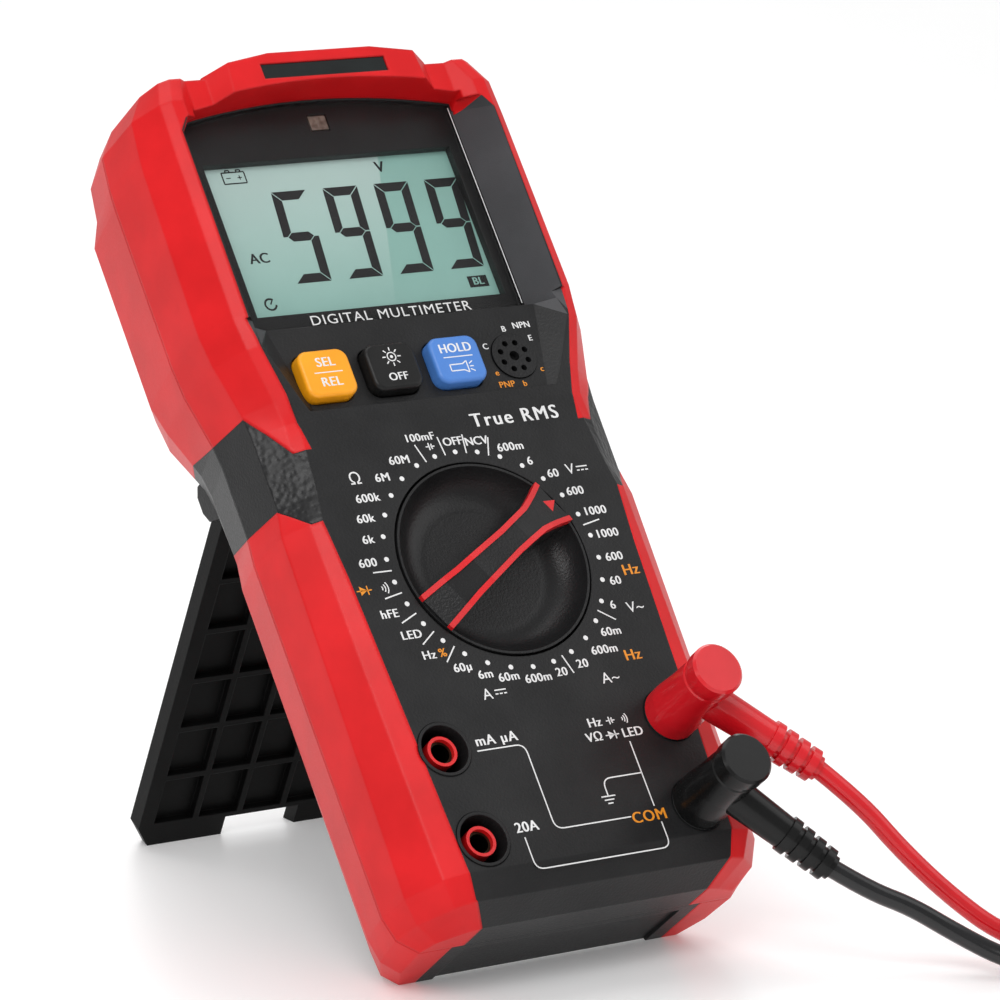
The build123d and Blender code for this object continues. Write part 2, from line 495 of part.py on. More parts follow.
# ---- leads ----
# Each route is a list of points (x, y, height): x and y are measured from the dial centre, seen from above.
ROUTES = {
    "red": [
        (54.0, -49.4, 31.6), (60.8, -53.6, 22.4), (69.2, -58.8, 13.0), (77.4, -65.6, 5.4), (88.0, -72.4, 1.9),
        (102.0, -77.4, 1.9), (117.0, -78.2, 1.9), (131.0, -76.8, 1.9),
    ],
    "black": [
        (48.8, -60.0, 17.2), (56.4, -62.9, 13.8), (63.8, -67.4, 8.6), (71.2, -73.8, 3.8), (78.6, -82.4, 1.9),
        (79.8, -94.0, 1.9), (74.4, -104.2, 1.9),
    ],
}
COIL_CENTRES = {"red": (131.0, -52.8), "black": (95.0, -115.5)}
EXIT_GAP = 0.2  # between the strain relief and the lead's own solid
PROBE_Z = COIL_HEIGHT + 5.1
PROBE_OFFSET = 7.6  # each probe lies this far to the right of the line between the coils


def over_floor(x, y, z):
    """From a route's point to the standing frame."""
    return (x, y - MID_DEPTH, z)


def fitted_radii(points):
    """An arc at each corner, as large as its two runs allow."""
    found = []
    for a, b, c in zip(points, points[1:], points[2:]):
        first = Vector(*b) - Vector(*a)
        second = Vector(*c) - Vector(*b)
        half = radians(first.get_angle(second)) / 2
        found.append(0.45 * min(first.length, second.length) / tan(half))
    return found


def tube(name, points):
    """A round lead along straight runs and tangent arcs."""
    radii = fitted_radii(points)
    path = FilletPolyline(*points, radius=radii)
    lead = sweep(Plane(origin=path @ 0, z_dir=path % 0) * Circle(LEAD_RADIUS), path=path)
    ratio = lead.volume / (pi * LEAD_RADIUS**2 * path.length)
    print(name, "length", round(path.length, 1), "volume ratio", round(ratio, 4))
    print("  arc radii", [round(r, 1) for r in radii])
    return lead


def lead_coil():
    """The outer shape of the coiled length, three turns high and two turns across."""
    middle = sum(COIL_RADII) / 2
    outline = Pos(middle, COIL_HEIGHT / 2) * RectangleRounded(COIL_RADII[1] - COIL_RADII[0], COIL_HEIGHT, 1.8)
    return revolve(Plane.XZ * outline, Axis.Z)


def lead_tie():
    """The strap round one side of a coil."""
    strap = ring(0, 0, COIL_RADII[1] + 1.0, COIL_RADII[0] - 1.0, 0.0, COIL_HEIGHT + 0.9) & block(-3, 3, 0, 40, -1, 20)
    return strap - ring(0, 0, COIL_RADII[1], COIL_RADII[0], -1.0, COIL_HEIGHT)


PROBE_OUTLINE = [
    (0, 0), (2.9, 0), (3.4, 12.0), (5.0, 14.0), (5.0, 66.0), (4.2, 70.0), (6.4, 70.0), (6.4, 72.0), (4.4, 72.0),
    (3.6, 84.0), (0, 84.0),
]
# The lead's last stretch, from the probe's tail back to the coil: along the probe's line, across it, and height.
TAIL_ROUTE = [(0, 0, PROBE_Z), (-8.0, -0.6, 16.2), (-16.6, 3.4, 14.4), (-20.8, 12.6, 13.3), (-18.6, 22.6, 13.3)]

ties = []
for colour, (cx, cy) in COIL_CENTRES.items():
    ox, oy = COIL_CENTRES["black" if colour == "red" else "red"]
    span = hypot(ox - cx, oy - cy)
    along = Vector((ox - cx) / span, (oy - cy) / span, 0)
    across = Vector(-along.Y, along.X, 0)
    x, y = PLUG_JACK[colour]
    length, turn, height = PLUG_REACH[colour]
    reach = length + EXIT_GAP
    start = placed_point(x + reach * cos(radians(turn)), y + reach * sin(radians(turn)), height)
    save(f"{colour}_lead", tube(f"{colour} lead", [start, *[over_floor(*p) for p in ROUTES[colour]]]), leaned=False)
    centre = Pos(*over_floor(cx, cy, 0))
    save(f"{colour}_lead_coil", centre * lead_coil(), leaned=False)
    ties.append(centre * Rot(0, 0, degrees(atan2(-across.Y, -across.X)) - 90) * lead_tie())
    tail = Vector(*over_floor(cx, cy, 0)) - across * PROBE_OFFSET
    heading = Plane(origin=tail + Vector(0, 0, PROBE_Z), x_dir=across, z_dir=along)
    probe = revolve(Plane.XZ * make_face(Polyline(*PROBE_OUTLINE, close=True)), Axis.Z)
    save(f"{colour}_probe", heading * probe, leaned=False)
    tip = Pos(0, 0, 90.9) * Cylinder(1.0, 13.8) + Pos(0, 0, 99.3) * Cone(1.0, 0.2, 3.0)
    save(f"{colour}_probe_tip", heading * tip, leaned=False)
    tail_points = [tail + along * a + across * b + Vector(0, 0, z) for a, b, z in TAIL_ROUTE]
    save(f"{colour}_lead_tail", tube(f"{colour} tail", [tuple(p) for p in tail_points]), leaned=False)
save("lead_ties", *ties, leaned=False)

print("dial centre", tuple(round(c, 2) for c in placed_point(0, 0, 0)))
print("plug exits", {k: tuple(round(c, 2) for c in v) for k, v in EXITS.items()})
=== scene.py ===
import json
import math

import bmesh
import bpy
from mathutils import Matrix, Vector

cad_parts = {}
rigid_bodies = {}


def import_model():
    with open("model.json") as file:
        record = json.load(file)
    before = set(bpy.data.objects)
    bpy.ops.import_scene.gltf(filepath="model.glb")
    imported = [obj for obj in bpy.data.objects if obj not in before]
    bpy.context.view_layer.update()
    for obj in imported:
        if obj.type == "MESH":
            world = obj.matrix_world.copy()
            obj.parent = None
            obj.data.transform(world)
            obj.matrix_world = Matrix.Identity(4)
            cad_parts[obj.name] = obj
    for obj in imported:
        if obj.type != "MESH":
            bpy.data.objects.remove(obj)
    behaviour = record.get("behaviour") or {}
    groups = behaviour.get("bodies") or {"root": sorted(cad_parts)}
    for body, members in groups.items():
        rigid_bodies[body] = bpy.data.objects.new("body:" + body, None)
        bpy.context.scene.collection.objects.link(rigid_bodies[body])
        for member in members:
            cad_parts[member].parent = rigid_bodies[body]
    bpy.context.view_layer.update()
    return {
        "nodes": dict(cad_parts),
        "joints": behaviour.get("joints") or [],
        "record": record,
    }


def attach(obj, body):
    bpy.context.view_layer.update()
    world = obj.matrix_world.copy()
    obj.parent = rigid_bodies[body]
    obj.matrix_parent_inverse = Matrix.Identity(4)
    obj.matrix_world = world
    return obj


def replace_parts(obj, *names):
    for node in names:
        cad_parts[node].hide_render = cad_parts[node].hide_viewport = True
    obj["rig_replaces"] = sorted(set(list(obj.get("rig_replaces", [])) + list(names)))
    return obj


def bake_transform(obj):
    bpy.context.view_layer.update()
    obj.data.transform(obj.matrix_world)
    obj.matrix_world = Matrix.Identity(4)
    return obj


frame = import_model()

# ---- the meter's own frame ----
# x is right, y up the face and z out of the face, in millimetres from the dial's centre.
MM = 0.001
joints = {joint["name"]: joint for joint in frame["joints"]}
DIAL = Vector(joints["selector_turn"]["pos_m"])
OUT = Vector(joints["selector_turn"]["axis"])
RIGHT = Vector((1, 0, 0))
UP = OUT.cross(RIGHT)
METER = Matrix.Translation(DIAL) @ Matrix((RIGHT, UP, OUT)).transposed().to_4x4() @ Matrix.Scale(MM, 4)
TO_METER = METER.inverted()


def over_floor(x, y, z):
    """A point of a lead's route: x and y from the dial's centre seen from above, z above the floor, in mm."""
    return Vector((x * MM, y * MM + DIAL.y, z * MM))


# ---- camera ----
CAMERA_PLACE = (-0.5336, -0.8228, 0.2221)  # from the dial's centre, in metres
CAMERA_TURN = (77.89, -0.64, -32.89)
CAMERA_LENS = 184.9
CAMERA_SENSOR = 36.0


def add_camera():
    data = bpy.data.cameras.new("camera")
    data.lens = CAMERA_LENS
    data.sensor_width = CAMERA_SENSOR
    camera = bpy.data.objects.new("camera", data)
    camera.location = DIAL + Vector(CAMERA_PLACE)
    camera.rotation_euler = [math.radians(angle) for angle in CAMERA_TURN]
    bpy.context.scene.collection.objects.link(camera)
    bpy.context.scene.camera = camera


add_camera()


# ---- materials ----
CLOUD_RANGE = (0.35, 0.68)  # the share of the clouds' noise over which the two colours change
GLOSS_SPREAD = 0.08


def finish(
    name, dark, light, roughness,
    grain=0.25, grain_size=0.35, cloud_size=12.0, relief=0.06, edge=0, **settings
):
    """A moulded surface: two close colours in slow clouds, a fine grain in the relief, and uneven gloss.
    Sizes are in millimetres, and edge is the radius of its rounded edges. Settings name the shader's own
    sockets."""
    material = bpy.data.materials.new(name)
    material.use_nodes = True
    nodes, links = material.node_tree.nodes, material.node_tree.links
    shader = nodes["Principled BSDF"]
    where = nodes.new("ShaderNodeTexCoord")
    clouds = nodes.new("ShaderNodeTexNoise")
    clouds.inputs["Scale"].default_value = 1 / (cloud_size * MM)
    clouds.inputs["Detail"].default_value = 4
    links.new(where.outputs["Object"], clouds.inputs["Vector"])
    ramp = nodes.new("ShaderNodeValToRGB")
    for element, position, colour in zip(ramp.color_ramp.elements, CLOUD_RANGE, (dark, light)):
        element.position = position
        element.color = (*colour, 1)
    links.new(clouds.outputs["Fac"], ramp.inputs["Fac"])
    links.new(ramp.outputs["Color"], shader.inputs["Base Color"])
    fine = nodes.new("ShaderNodeTexNoise")
    fine.inputs["Scale"].default_value = 1 / (grain_size * MM)
    fine.inputs["Detail"].default_value = 2
    links.new(where.outputs["Object"], fine.inputs["Vector"])
    gloss = nodes.new("ShaderNodeMapRange")
    gloss.inputs["To Min"].default_value = max(0.02, roughness - GLOSS_SPREAD)
    gloss.inputs["To Max"].default_value = min(1.0, roughness + GLOSS_SPREAD)
    links.new(fine.outputs["Fac"], gloss.inputs["Value"])
    links.new(gloss.outputs["Result"], shader.inputs["Roughness"])
    bump = nodes.new("ShaderNodeBump")
    bump.inputs["Strength"].default_value = grain
    bump.inputs["Distance"].default_value = relief * MM
    links.new(fine.outputs["Fac"], bump.inputs["Height"])
    links.new(bump.outputs["Normal"], shader.inputs["Normal"])
    if edge:
        rounding = nodes.new("ShaderNodeBevel")
        rounding.samples = 6
        rounding.inputs["Radius"].default_value = edge * MM
        links.new(rounding.outputs["Normal"], bump.inputs["Normal"])
    for socket, value in settings.items():
        shader.inputs[socket.replace("_", " ")].default_value = value
    return material


def node_of(nodes, kind):
    return next(node for node in nodes if node.type == kind)


def map_range(nodes, start, end):
    """A node that takes the range from start to end, each a pair of a value and what it becomes."""
    node = nodes.new("ShaderNodeMapRange")
    for side, (value, becomes) in (("Min", start), ("Max", end)):
        node.inputs[f"From {side}"].default_value = value
        node.inputs[f"To {side}"].default_value = becomes
    return node


PEBBLE_SIZE = 1.1
PEBBLE_RELIEF = 0.22
PEBBLE_STRENGTH = 0.7


def leather(name):
    """The pebbled grain moulded into the waist."""
    material = finish(name, *BLACK, 0.36, edge=0.5, **SATIN)
    nodes, links = material.node_tree.nodes, material.node_tree.links
    where = node_of(nodes, "TEX_COORD")
    bump = node_of(nodes, "BUMP")
    cells = nodes.new("ShaderNodeTexVoronoi")
    cells.feature = "SMOOTH_F1"
    cells.inputs["Scale"].default_value = 1 / (PEBBLE_SIZE * MM)
    links.new(where.outputs["Object"], cells.inputs["Vector"])
    links.new(cells.outputs["Distance"], bump.inputs["Height"])
    bump.inputs["Strength"].default_value = PEBBLE_STRENGTH
    bump.inputs["Distance"].default_value = PEBBLE_RELIEF * MM
    return material


REFLECTION_SLOPE = 0.25  # how far the reflection's edge moves right for each unit up
REFLECTION_EDGE = (-11.2, -10.8)  # x of its soft edge at the dial's centre's height
REFLECTION_RISE = (60.0, 97.0)  # y from which to which it grows stronger
REFLECTION_SHARE = (0.02, 0.55)
REFLECTION_COLOUR = (0.85, 0.97, 0.94, 1)


def display_glass(name):
    """The display's reflector, grey-green, with a pale slanted reflection over its left part."""
    material = finish(name, (0.33, 0.6, 0.53), (0.35, 0.63, 0.56), 0.5, grain=0.03)
    nodes, links = material.node_tree.nodes, material.node_tree.links
    shader = nodes["Principled BSDF"]
    where = node_of(nodes, "TEX_COORD")
    to_face = nodes.new("ShaderNodeMapping")
    to_face.inputs["Location"].default_value = TO_METER.translation
    to_face.inputs["Rotation"].default_value = TO_METER.to_euler()
    to_face.inputs["Scale"].default_value = TO_METER.to_scale()
    links.new(where.outputs["Object"], to_face.inputs["Vector"])
    parts = nodes.new("ShaderNodeSeparateXYZ")
    links.new(to_face.outputs["Vector"], parts.inputs["Vector"])
    # x, straightened so that the reflection's slanted edge is upright
    lean = nodes.new("ShaderNodeMath")
    lean.operation = "MULTIPLY_ADD"
    lean.inputs[1].default_value = -REFLECTION_SLOPE
    links.new(parts.outputs["Y"], lean.inputs[0])
    links.new(parts.outputs["X"], lean.inputs[2])
    edge = map_range(nodes, (REFLECTION_EDGE[0], 1.0), (REFLECTION_EDGE[1], 0.0))
    links.new(lean.outputs["Value"], edge.inputs["Value"])
    height = map_range(nodes, *zip(REFLECTION_RISE, REFLECTION_SHARE))
    links.new(parts.outputs["Y"], height.inputs["Value"])
    share = nodes.new("ShaderNodeMath")
    share.operation = "MULTIPLY"
    links.new(edge.outputs["Result"], share.inputs[0])
    links.new(height.outputs["Result"], share.inputs[1])
    mix = nodes.new("ShaderNodeMix")
    mix.data_type = "RGBA"
    first, second = [socket for socket in mix.inputs if socket.type == "RGBA"]
    second.default_value = REFLECTION_COLOUR
    links.new(share.outputs["Value"], mix.inputs["Factor"])
    links.new(nodes["Color Ramp"].outputs["Color"], first)
    links.new(next(socket for socket in mix.outputs if socket.type == "RGBA"), shader.inputs["Base Color"])
    return material


BLACK = ((0.009, 0.009, 0.0095), (0.015, 0.015, 0.0155))
SATIN = {"Specular_IOR_Level": 0.28}
materials = {
    "case_black": finish(
        "case_black", *BLACK, 0.42, grain=0.7, grain_size=0.5, relief=0.1, edge=0.4, **SATIN
    ),
    "waist_leather": leather("waist_leather"),
    # painted light: a grey copy of the black case for the display bay's lit side walls
    "bay_side_painted_light": finish(
        "bay_side_painted_light", (0.04, 0.04, 0.044), (0.055, 0.055, 0.06), 0.55, grain=0.4, grain_size=0.25
    ),
    "bumper_red": finish(
        "bumper_red", (0.6, 0.004, 0.006), (0.7, 0.007, 0.01), 0.4,
        grain=0.12, grain_size=0.4, edge=0.8, **SATIN
    ),
    "clear_lens": finish("clear_lens", (0.02, 0.02, 0.02), (0.03, 0.03, 0.03), 0.05, grain=0.0, Alpha=0.1),
    "lcd_glass": display_glass("lcd_glass"),
    "lcd_ink": finish("lcd_ink", (0.004, 0.004, 0.005), (0.009, 0.009, 0.01), 0.5, grain=0.05),
    "inner_white": finish("inner_white", (0.7, 0.7, 0.68), (0.8, 0.8, 0.78), 0.5),
    "elastomer": finish("elastomer", (0.02, 0.02, 0.02), (0.04, 0.04, 0.04), 0.6),
    "print_black": finish("print_black", (0.006, 0.006, 0.007), (0.012, 0.012, 0.013), 0.2, grain=0.05),
    "sensor": finish("sensor", (0.12, 0.08, 0.06), (0.3, 0.24, 0.2), 0.3, cloud_size=1.0),
    "smoked_window": finish("smoked_window", (0.004, 0.006, 0.006), (0.008, 0.012, 0.012), 0.08, grain=0.02),
    "lamp_red": finish("lamp_red", (0.3, 0.01, 0.01), (0.5, 0.02, 0.02), 0.2),
    "knob_black": finish("knob_black", *BLACK, 0.33, grain=0.7, grain_size=0.5, relief=0.09, **SATIN),
    "trim_red": finish("trim_red", (0.6, 0.01, 0.014), (0.72, 0.015, 0.02), 0.3, grain=0.05),
    "spring_steel": finish("spring_steel", (0.45, 0.45, 0.45), (0.6, 0.6, 0.6), 0.3, Metallic=1.0),
    # painted shade: the contacts' brass is darkened nearly to black for their place deep inside the jacks
    "contact_brass": finish("contact_brass", (0.035, 0.025, 0.016), (0.05, 0.036, 0.022), 0.4, Metallic=1.0),
    "button_orange": finish("button_orange", (0.9, 0.33, 0.003), (0.95, 0.38, 0.006), 0.42, grain=0.1),
    "button_black": finish(
        "button_black", (0.006, 0.006, 0.006), (0.01, 0.01, 0.01), 0.4, grain=0.15, **SATIN
    ),
    "button_blue": finish("button_blue", (0.06, 0.2, 0.58), (0.075, 0.23, 0.64), 0.42, grain=0.1),
    "jack_red": finish("jack_red", (0.6, 0.005, 0.008), (0.75, 0.01, 0.012), 0.3),
    "board_green": finish("board_green", (0.01, 0.12, 0.04), (0.02, 0.18, 0.06), 0.35),
    "screw_steel": finish("screw_steel", (0.4, 0.4, 0.41), (0.55, 0.55, 0.56), 0.35, Metallic=1.0),
    "fuse_ceramic": finish("fuse_ceramic", (0.7, 0.66, 0.58), (0.8, 0.77, 0.7), 0.3),
    "cell_wrap": finish("cell_wrap", (0.02, 0.02, 0.03), (0.05, 0.05, 0.06), 0.3),
    "stand_black": finish(
        "stand_black", (0.002, 0.002, 0.002), (0.004, 0.004, 0.004), 0.5,
        grain=0.4, edge=0.4, Specular_IOR_Level=0.12
    ),
    "plug_red": finish("plug_red", (0.6, 0.006, 0.012), (0.7, 0.01, 0.018), 0.22, grain=0.04),
    "plug_black": finish(
        "plug_black", (0.003, 0.003, 0.003), (0.006, 0.006, 0.006), 0.24, grain=0.04, **SATIN
    ),
    "plug_metal": finish("plug_metal", (0.6, 0.6, 0.6), (0.75, 0.75, 0.75), 0.15, Metallic=1.0),
    "lead_red": finish("lead_red", (0.62, 0.006, 0.012), (0.72, 0.01, 0.018), 0.2, grain=0.05),
    "lead_black": finish("lead_black", (0.005, 0.005, 0.0055), (0.009, 0.009, 0.01), 0.2, grain=0.05),
    "tie_black": finish("tie_black", (0.015, 0.015, 0.015), (0.03, 0.03, 0.03), 0.55),
    "print_white": finish("print_white", (0.72, 0.72, 0.72), (0.82, 0.82, 0.82), 0.5, grain=0.05),
    "print_orange": finish("print_orange", (0.75, 0.25, 0.01), (0.82, 0.3, 0.015), 0.5, grain=0.05),
}
slot_of = {part["node"]: part["material_slot"] for part in frame["record"]["subparts"]}


def dress(obj, material):
    obj.data.materials.clear()
    obj.data.materials.append(materials[material])


def link(name, mesh):
    obj = bpy.data.objects.new(name, mesh)
    bpy.context.scene.collection.objects.link(obj)
    return obj


# ---- leads ----
LEAD_RADIUS = 1.9
ROUTES = {
    "red": [
        (54.0, -49.4, 31.6), (60.8, -53.6, 22.4), (69.2, -58.8, 13.0), (77.4, -65.6, 5.4), (88.0, -72.4, 1.9),
        (102.0, -77.4, 1.9), (117.0, -78.2, 1.9), (131.0, -76.8, 1.9),
    ],
    "black": [
        (48.8, -60.0, 17.2), (56.4, -62.9, 13.8), (63.8, -67.4, 8.6), (71.2, -73.8, 3.8), (78.6, -82.4, 1.9),
        (79.8, -94.0, 1.9), (74.4, -104.2, 1.9),
    ],
}
STARTS = {"red": (47.14, -44.37, 38.3), "black": (42.66, -55.77, 21.61)}
COIL_CENTRES = {"red": (131.0, -52.8), "black": (95.0, -115.5)}
TAIL_ROUTE = [
    (-18.6, 15.0, 12.0), (-20.8, 5.0, 13.2), (-16.6, -4.2, 14.6), (-8.0, -8.2, 16.2), (0, -7.6, 17.1),
]
# the radius and the height of each of the coil's turns
COIL_LANES = [(24.0, 1.95), (20.1, 1.95), (20.1, 5.95), (24.0, 5.95), (24.0, 9.95), (20.1, 9.95)]
POINTS_PER_TURN = 16
CROSSING = 1 / 6  # the share of each turn, at its end, that crosses over to the next lane
CONTROL_SPREAD = 1.012  # a smooth line runs just inside its control points, so they stand further out


def coil_turns(centre, start_angle, end_angle):
    """The coil's turns, counterclockwise from above: out and in on each layer by turns."""
    last = len(COIL_LANES) - 1
    sweep = 2 * math.pi * last + (end_angle - start_angle) % (2 * math.pi)
    count = round(sweep / (2 * math.pi) * POINTS_PER_TURN)
    points = []
    for k in range(1, count):
        turned = sweep * k / count
        lane = min(int(turned / (2 * math.pi)), last)
        share = turned / (2 * math.pi) - lane
        ease = max(0.0, (share - 1 + CROSSING) / CROSSING) if lane < last else 0.0
        here, there = COIL_LANES[lane], COIL_LANES[min(lane + 1, last)]
        radius = (here[0] + (there[0] - here[0]) * ease) * CONTROL_SPREAD
        height = here[1] + (there[1] - here[1]) * ease
        angle = start_angle + turned
        points.append(over_floor(
            centre[0] + radius * math.cos(angle), centre[1] + radius * math.sin(angle), height
        ))
    return points


def smooth_line(name, points):
    """A smooth line through the room, with these control points."""
    curve = bpy.data.curves.new(name, "CURVE")
    curve.dimensions = "3D"
    curve.resolution_u = 6
    spline = curve.splines.new("NURBS")
    spline.points.add(len(points) - 1)
    for point, place in zip(spline.points, points):
        point.co = (*place, 1)
    spline.order_u = 3
    spline.use_endpoint_u = True
    return curve


def add_lead(colour):
    centre = COIL_CENTRES[colour]
    other = COIL_CENTRES["black" if colour == "red" else "red"]
    along = (Vector(other) - Vector(centre)).normalized()
    across = Vector((-along.y, along.x))
    straight = [over_floor(*point) for point in (STARTS[colour], *ROUTES[colour])]
    tail = []
    for a, b, z in TAIL_ROUTE:
        flat = Vector(centre) + along * a + across * b
        tail.append(over_floor(flat.x, flat.y, z))
    middle = over_floor(*centre, 0)
    enter, leave = straight[-1] - middle, tail[0] - middle
    turns = coil_turns(centre, math.atan2(enter.y, enter.x), math.atan2(leave.y, leave.x))
    curve = smooth_line(f"{colour}_lead_line", straight + turns + tail)
    obj = link(f"{colour}_lead_line", curve)
    bpy.context.view_layer.update()
    spine = bpy.data.meshes.new_from_object(obj)
    curve.bevel_depth = LEAD_RADIUS * MM
    curve.bevel_resolution = 5
    curve.use_fill_caps = True
    bpy.context.view_layer.update()
    mesh = bpy.data.meshes.new_from_object(obj.evaluated_get(bpy.context.evaluated_depsgraph_get()))
    bpy.data.objects.remove(obj)
    lead = link(f"{colour}_lead_cable", mesh)
    for polygon in mesh.polygons:
        polygon.use_smooth = True
    dress(lead, f"lead_{colour}")
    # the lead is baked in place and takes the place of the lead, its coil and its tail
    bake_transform(lead)
    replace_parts(lead, f"{colour}_lead", f"{colour}_lead_coil", f"{colour}_lead_tail")


for colour in ("red", "black"):
    add_lead(colour)


# ---- the front case: black, the waist's pebbled grain, and painted light on the display bay's side walls ----
BAY_SIDE_X = 31.0
BAY_LOW_Y = 52.0
WAIST_X = 33.0
WAIST_Y = (12.0, 39.0)
WAIST_TOP_Z = 1.0


def front_paint(middle, normal):
    """Painted light: a lighter grey on the display bay's slanted side walls, which face the light, and
    pebbled grain on the waist's front facets.
    """
    if abs(middle.x) > BAY_SIDE_X and middle.y > BAY_LOW_Y and 0.15 < abs(normal.x) < 0.97 and normal.z > 0.2:
        return "bay_side_painted_light"
    if (
        abs(middle.x) > WAIST_X and WAIST_Y[0] < middle.y < WAIST_Y[1]
        and normal.z > 0.25 and middle.z < WAIST_TOP_Z
    ):
        return "waist_leather"
    return "case_black"


def add_front_case():
    mesh = frame["nodes"]["front_case"].data.copy()
    mesh.name = "front_case_moulding"
    obj = link(mesh.name, mesh)
    chosen = ["case_black", "bay_side_painted_light", "waist_leather"]
    mesh.materials.clear()
    for material in chosen:
        mesh.materials.append(materials[material])
    turn = TO_METER.to_3x3()
    for polygon in mesh.polygons:
        normal = (turn @ polygon.normal).normalized()
        polygon.material_index = chosen.index(front_paint(TO_METER @ polygon.center, normal))
    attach(obj, "case")
    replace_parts(obj, "front_case")


add_front_case()
replaced = {name for obj in bpy.data.objects for name in obj.get("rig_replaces", [])}
for node, obj in frame["nodes"].items():
    if node not in replaced:
        dress(obj, slot_of[node])
dress(frame["nodes"]["light_sensor"], "sensor")


# ---- printing ----
TEXT_CAP = 0.7  # the height of a capital, as a share of the type size
PRINT_LIFT = 0.03
BOLD_SHIFT = 0.035  # as a share of the capital's height


class Print:
    """Thin raised ink on one plane of the meter."""

    def __init__(self, name, material, z, body="case", slot="case_black"):
        self.name, self.material, self.z, self.body, self.slot = name, material, z, body, slot
        self.bm = bmesh.new()

    def face(self, points):
        low = [self.bm.verts.new((x, y, self.z)) for x, y in points]
        top = [self.bm.verts.new((x, y, self.z + PRINT_LIFT)) for x, y in points]
        self.bm.faces.new(top)
        for k, (a, b) in enumerate(zip(low, low[1:] + low[:1])):
            c, d = top[(k + 1) % len(top)], top[k]
            self.bm.faces.new((a, b, c, d))

    def dot(self, x, y, radius, sides=20):
        turns = [2 * math.pi * k / sides for k in range(sides)]
        self.face([(x + radius * math.cos(a), y + radius * math.sin(a)) for a in turns])

    def line(self, points, width=0.3):
        for (x0, y0), (x1, y1) in zip(points, points[1:]):
            size = math.hypot(x1 - x0, y1 - y0)
            dx, dy = (y0 - y1) / size * width / 2, (x1 - x0) / size * width / 2
            self.face([(x0 - dx, y0 - dy), (x1 - dx, y1 - dy), (x1 + dx, y1 + dy), (x0 + dx, y0 + dy)])

    def arc(self, x, y, radius, start, end, width=0.3, steps=10):
        angles = [math.radians(start + (end - start) * k / steps) for k in range(steps + 1)]
        self.line([(x + radius * math.cos(a), y + radius * math.sin(a)) for a in angles], width)

    def text(self, words, x, y, height=1.8, bold=False, spacing=1.06, stretch=1.0):
        """Words around a middle point. Bold words are printed twice, a hair apart."""
        curve = bpy.data.curves.new("label", "FONT")
        curve.body = words
        curve.size = height / TEXT_CAP
        curve.align_x = "CENTER"
        curve.align_y = "CENTER"
        curve.space_character = spacing
        curve.extrude = PRINT_LIFT / 2
        curve.resolution_u = 4
        label = link("label", curve)
        bpy.context.view_layer.update()
        flat = bpy.data.meshes.new_from_object(label.evaluated_get(bpy.context.evaluated_depsgraph_get()))
        bpy.data.objects.remove(label)
        for side in (-1, 1) if bold else (0,):
            mesh = flat.copy()
            place = (x + side * BOLD_SHIFT * height, y, self.z + PRINT_LIFT / 2 + side * PRINT_LIFT / 8)
            mesh.transform(Matrix.Translation(place) @ Matrix.Diagonal((stretch, 1, 1, 1)))
            self.bm.from_mesh(mesh)

    def make(self):
        mesh = bpy.data.meshes.new(self.name)
        self.bm.transform(METER)
        bmesh.ops.recalc_face_normals(self.bm, faces=self.bm.faces)
        self.bm.to_mesh(mesh)
        self.bm.free()
        obj = link(self.name, mesh)
        obj.data.materials.append(materials[self.material])
        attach(obj, self.body)


FACE_Z = -0.005
PANEL_Z = -0.605
white = Print("face_print_white", "print_white", FACE_Z)
orange = Print("face_print_orange", "print_orange", FACE_Z)

# The dial's positions run clockwise from the top, every 12 degrees: each has its name and that name's middle.
STEP = 12.0
FIRST_TURN = 0.6
DOT_RADIUS = 23.8
DOT_SIZE = 0.52
POSITIONS = [
    ("OFF", 0.5, 26.1), ("NCV", 5.9, 25.6), ("600m", 13.1, 23.5), ("6", 16.3, 19.9), ("60", 20.5, 16.6),
    ("600", 24.0, 12.2), ("1000", 26.8, 7.4), ("1000", 27.6, 2.2), ("600", 27.2, -3.0), ("60", 25.4, -8.2),
    ("6", 22.7, -13.3), ("60m", 20.0, -18.8), ("600m", 17.0, -22.4), ("20", 10.9, -24.7), ("20", 5.6, -25.8),
    ("600m", 0.0, -26.3), ("60m", -6.4, -25.2), ("6m", -11.3, -24.0), ("60µ", -15.7, -21.9),
    ("Hz", -22.0, -18.4), ("LED", -24.2, -13.7), ("hFE", -27.3, -8.8), ("", 0, 0), ("600", -28.0, 2.4),
    ("6k", -26.1, 7.3),
    ("60k", -25.0, 11.8), ("600k", -22.9, 16.1), ("6M", -18.0, 20.1), ("60M", -12.9, 23.4), ("", 0, 0),
]
TEXT_HEIGHT = 1.8


def dial_scale():
    for k, (words, x, y) in enumerate(POSITIONS):
        turn = math.radians(k * STEP + FIRST_TURN)
        white.dot(DOT_RADIUS * math.sin(turn), DOT_RADIUS * math.cos(turn), DOT_SIZE)
        if words:
            white.text(words, x, y, TEXT_HEIGHT, bold=True, spacing=1.0 if words in ("OFF", "NCV") else 1.08)


# in dial positions, clockwise from the top
DIVIDERS = (-1.5, -0.5, 0.5, 1.5, 6.5, 10.5, 13.5, 18.5, 19.5, 20.5, 21.5, 22.5)
DIVIDER_SPAN = (23.4, 27.6)


def divider_lines():
    for place in DIVIDERS:
        turn = math.radians(place * STEP + FIRST_TURN)
        ends = [(radius * math.sin(turn), radius * math.cos(turn)) for radius in DIVIDER_SPAN]
        white.line(ends, 0.28)


def dashes(ink, x, y):
    """The direct-current sign: a bar over three short dashes."""
    ink.line([(x - 1.3, y + 0.45), (x + 1.3, y + 0.45)], 0.26)
    for k in (-1, 0, 1):
        ink.line([(x + k * 0.98 - 0.32, y - 0.35), (x + k * 0.98 + 0.32, y - 0.35)], 0.26)


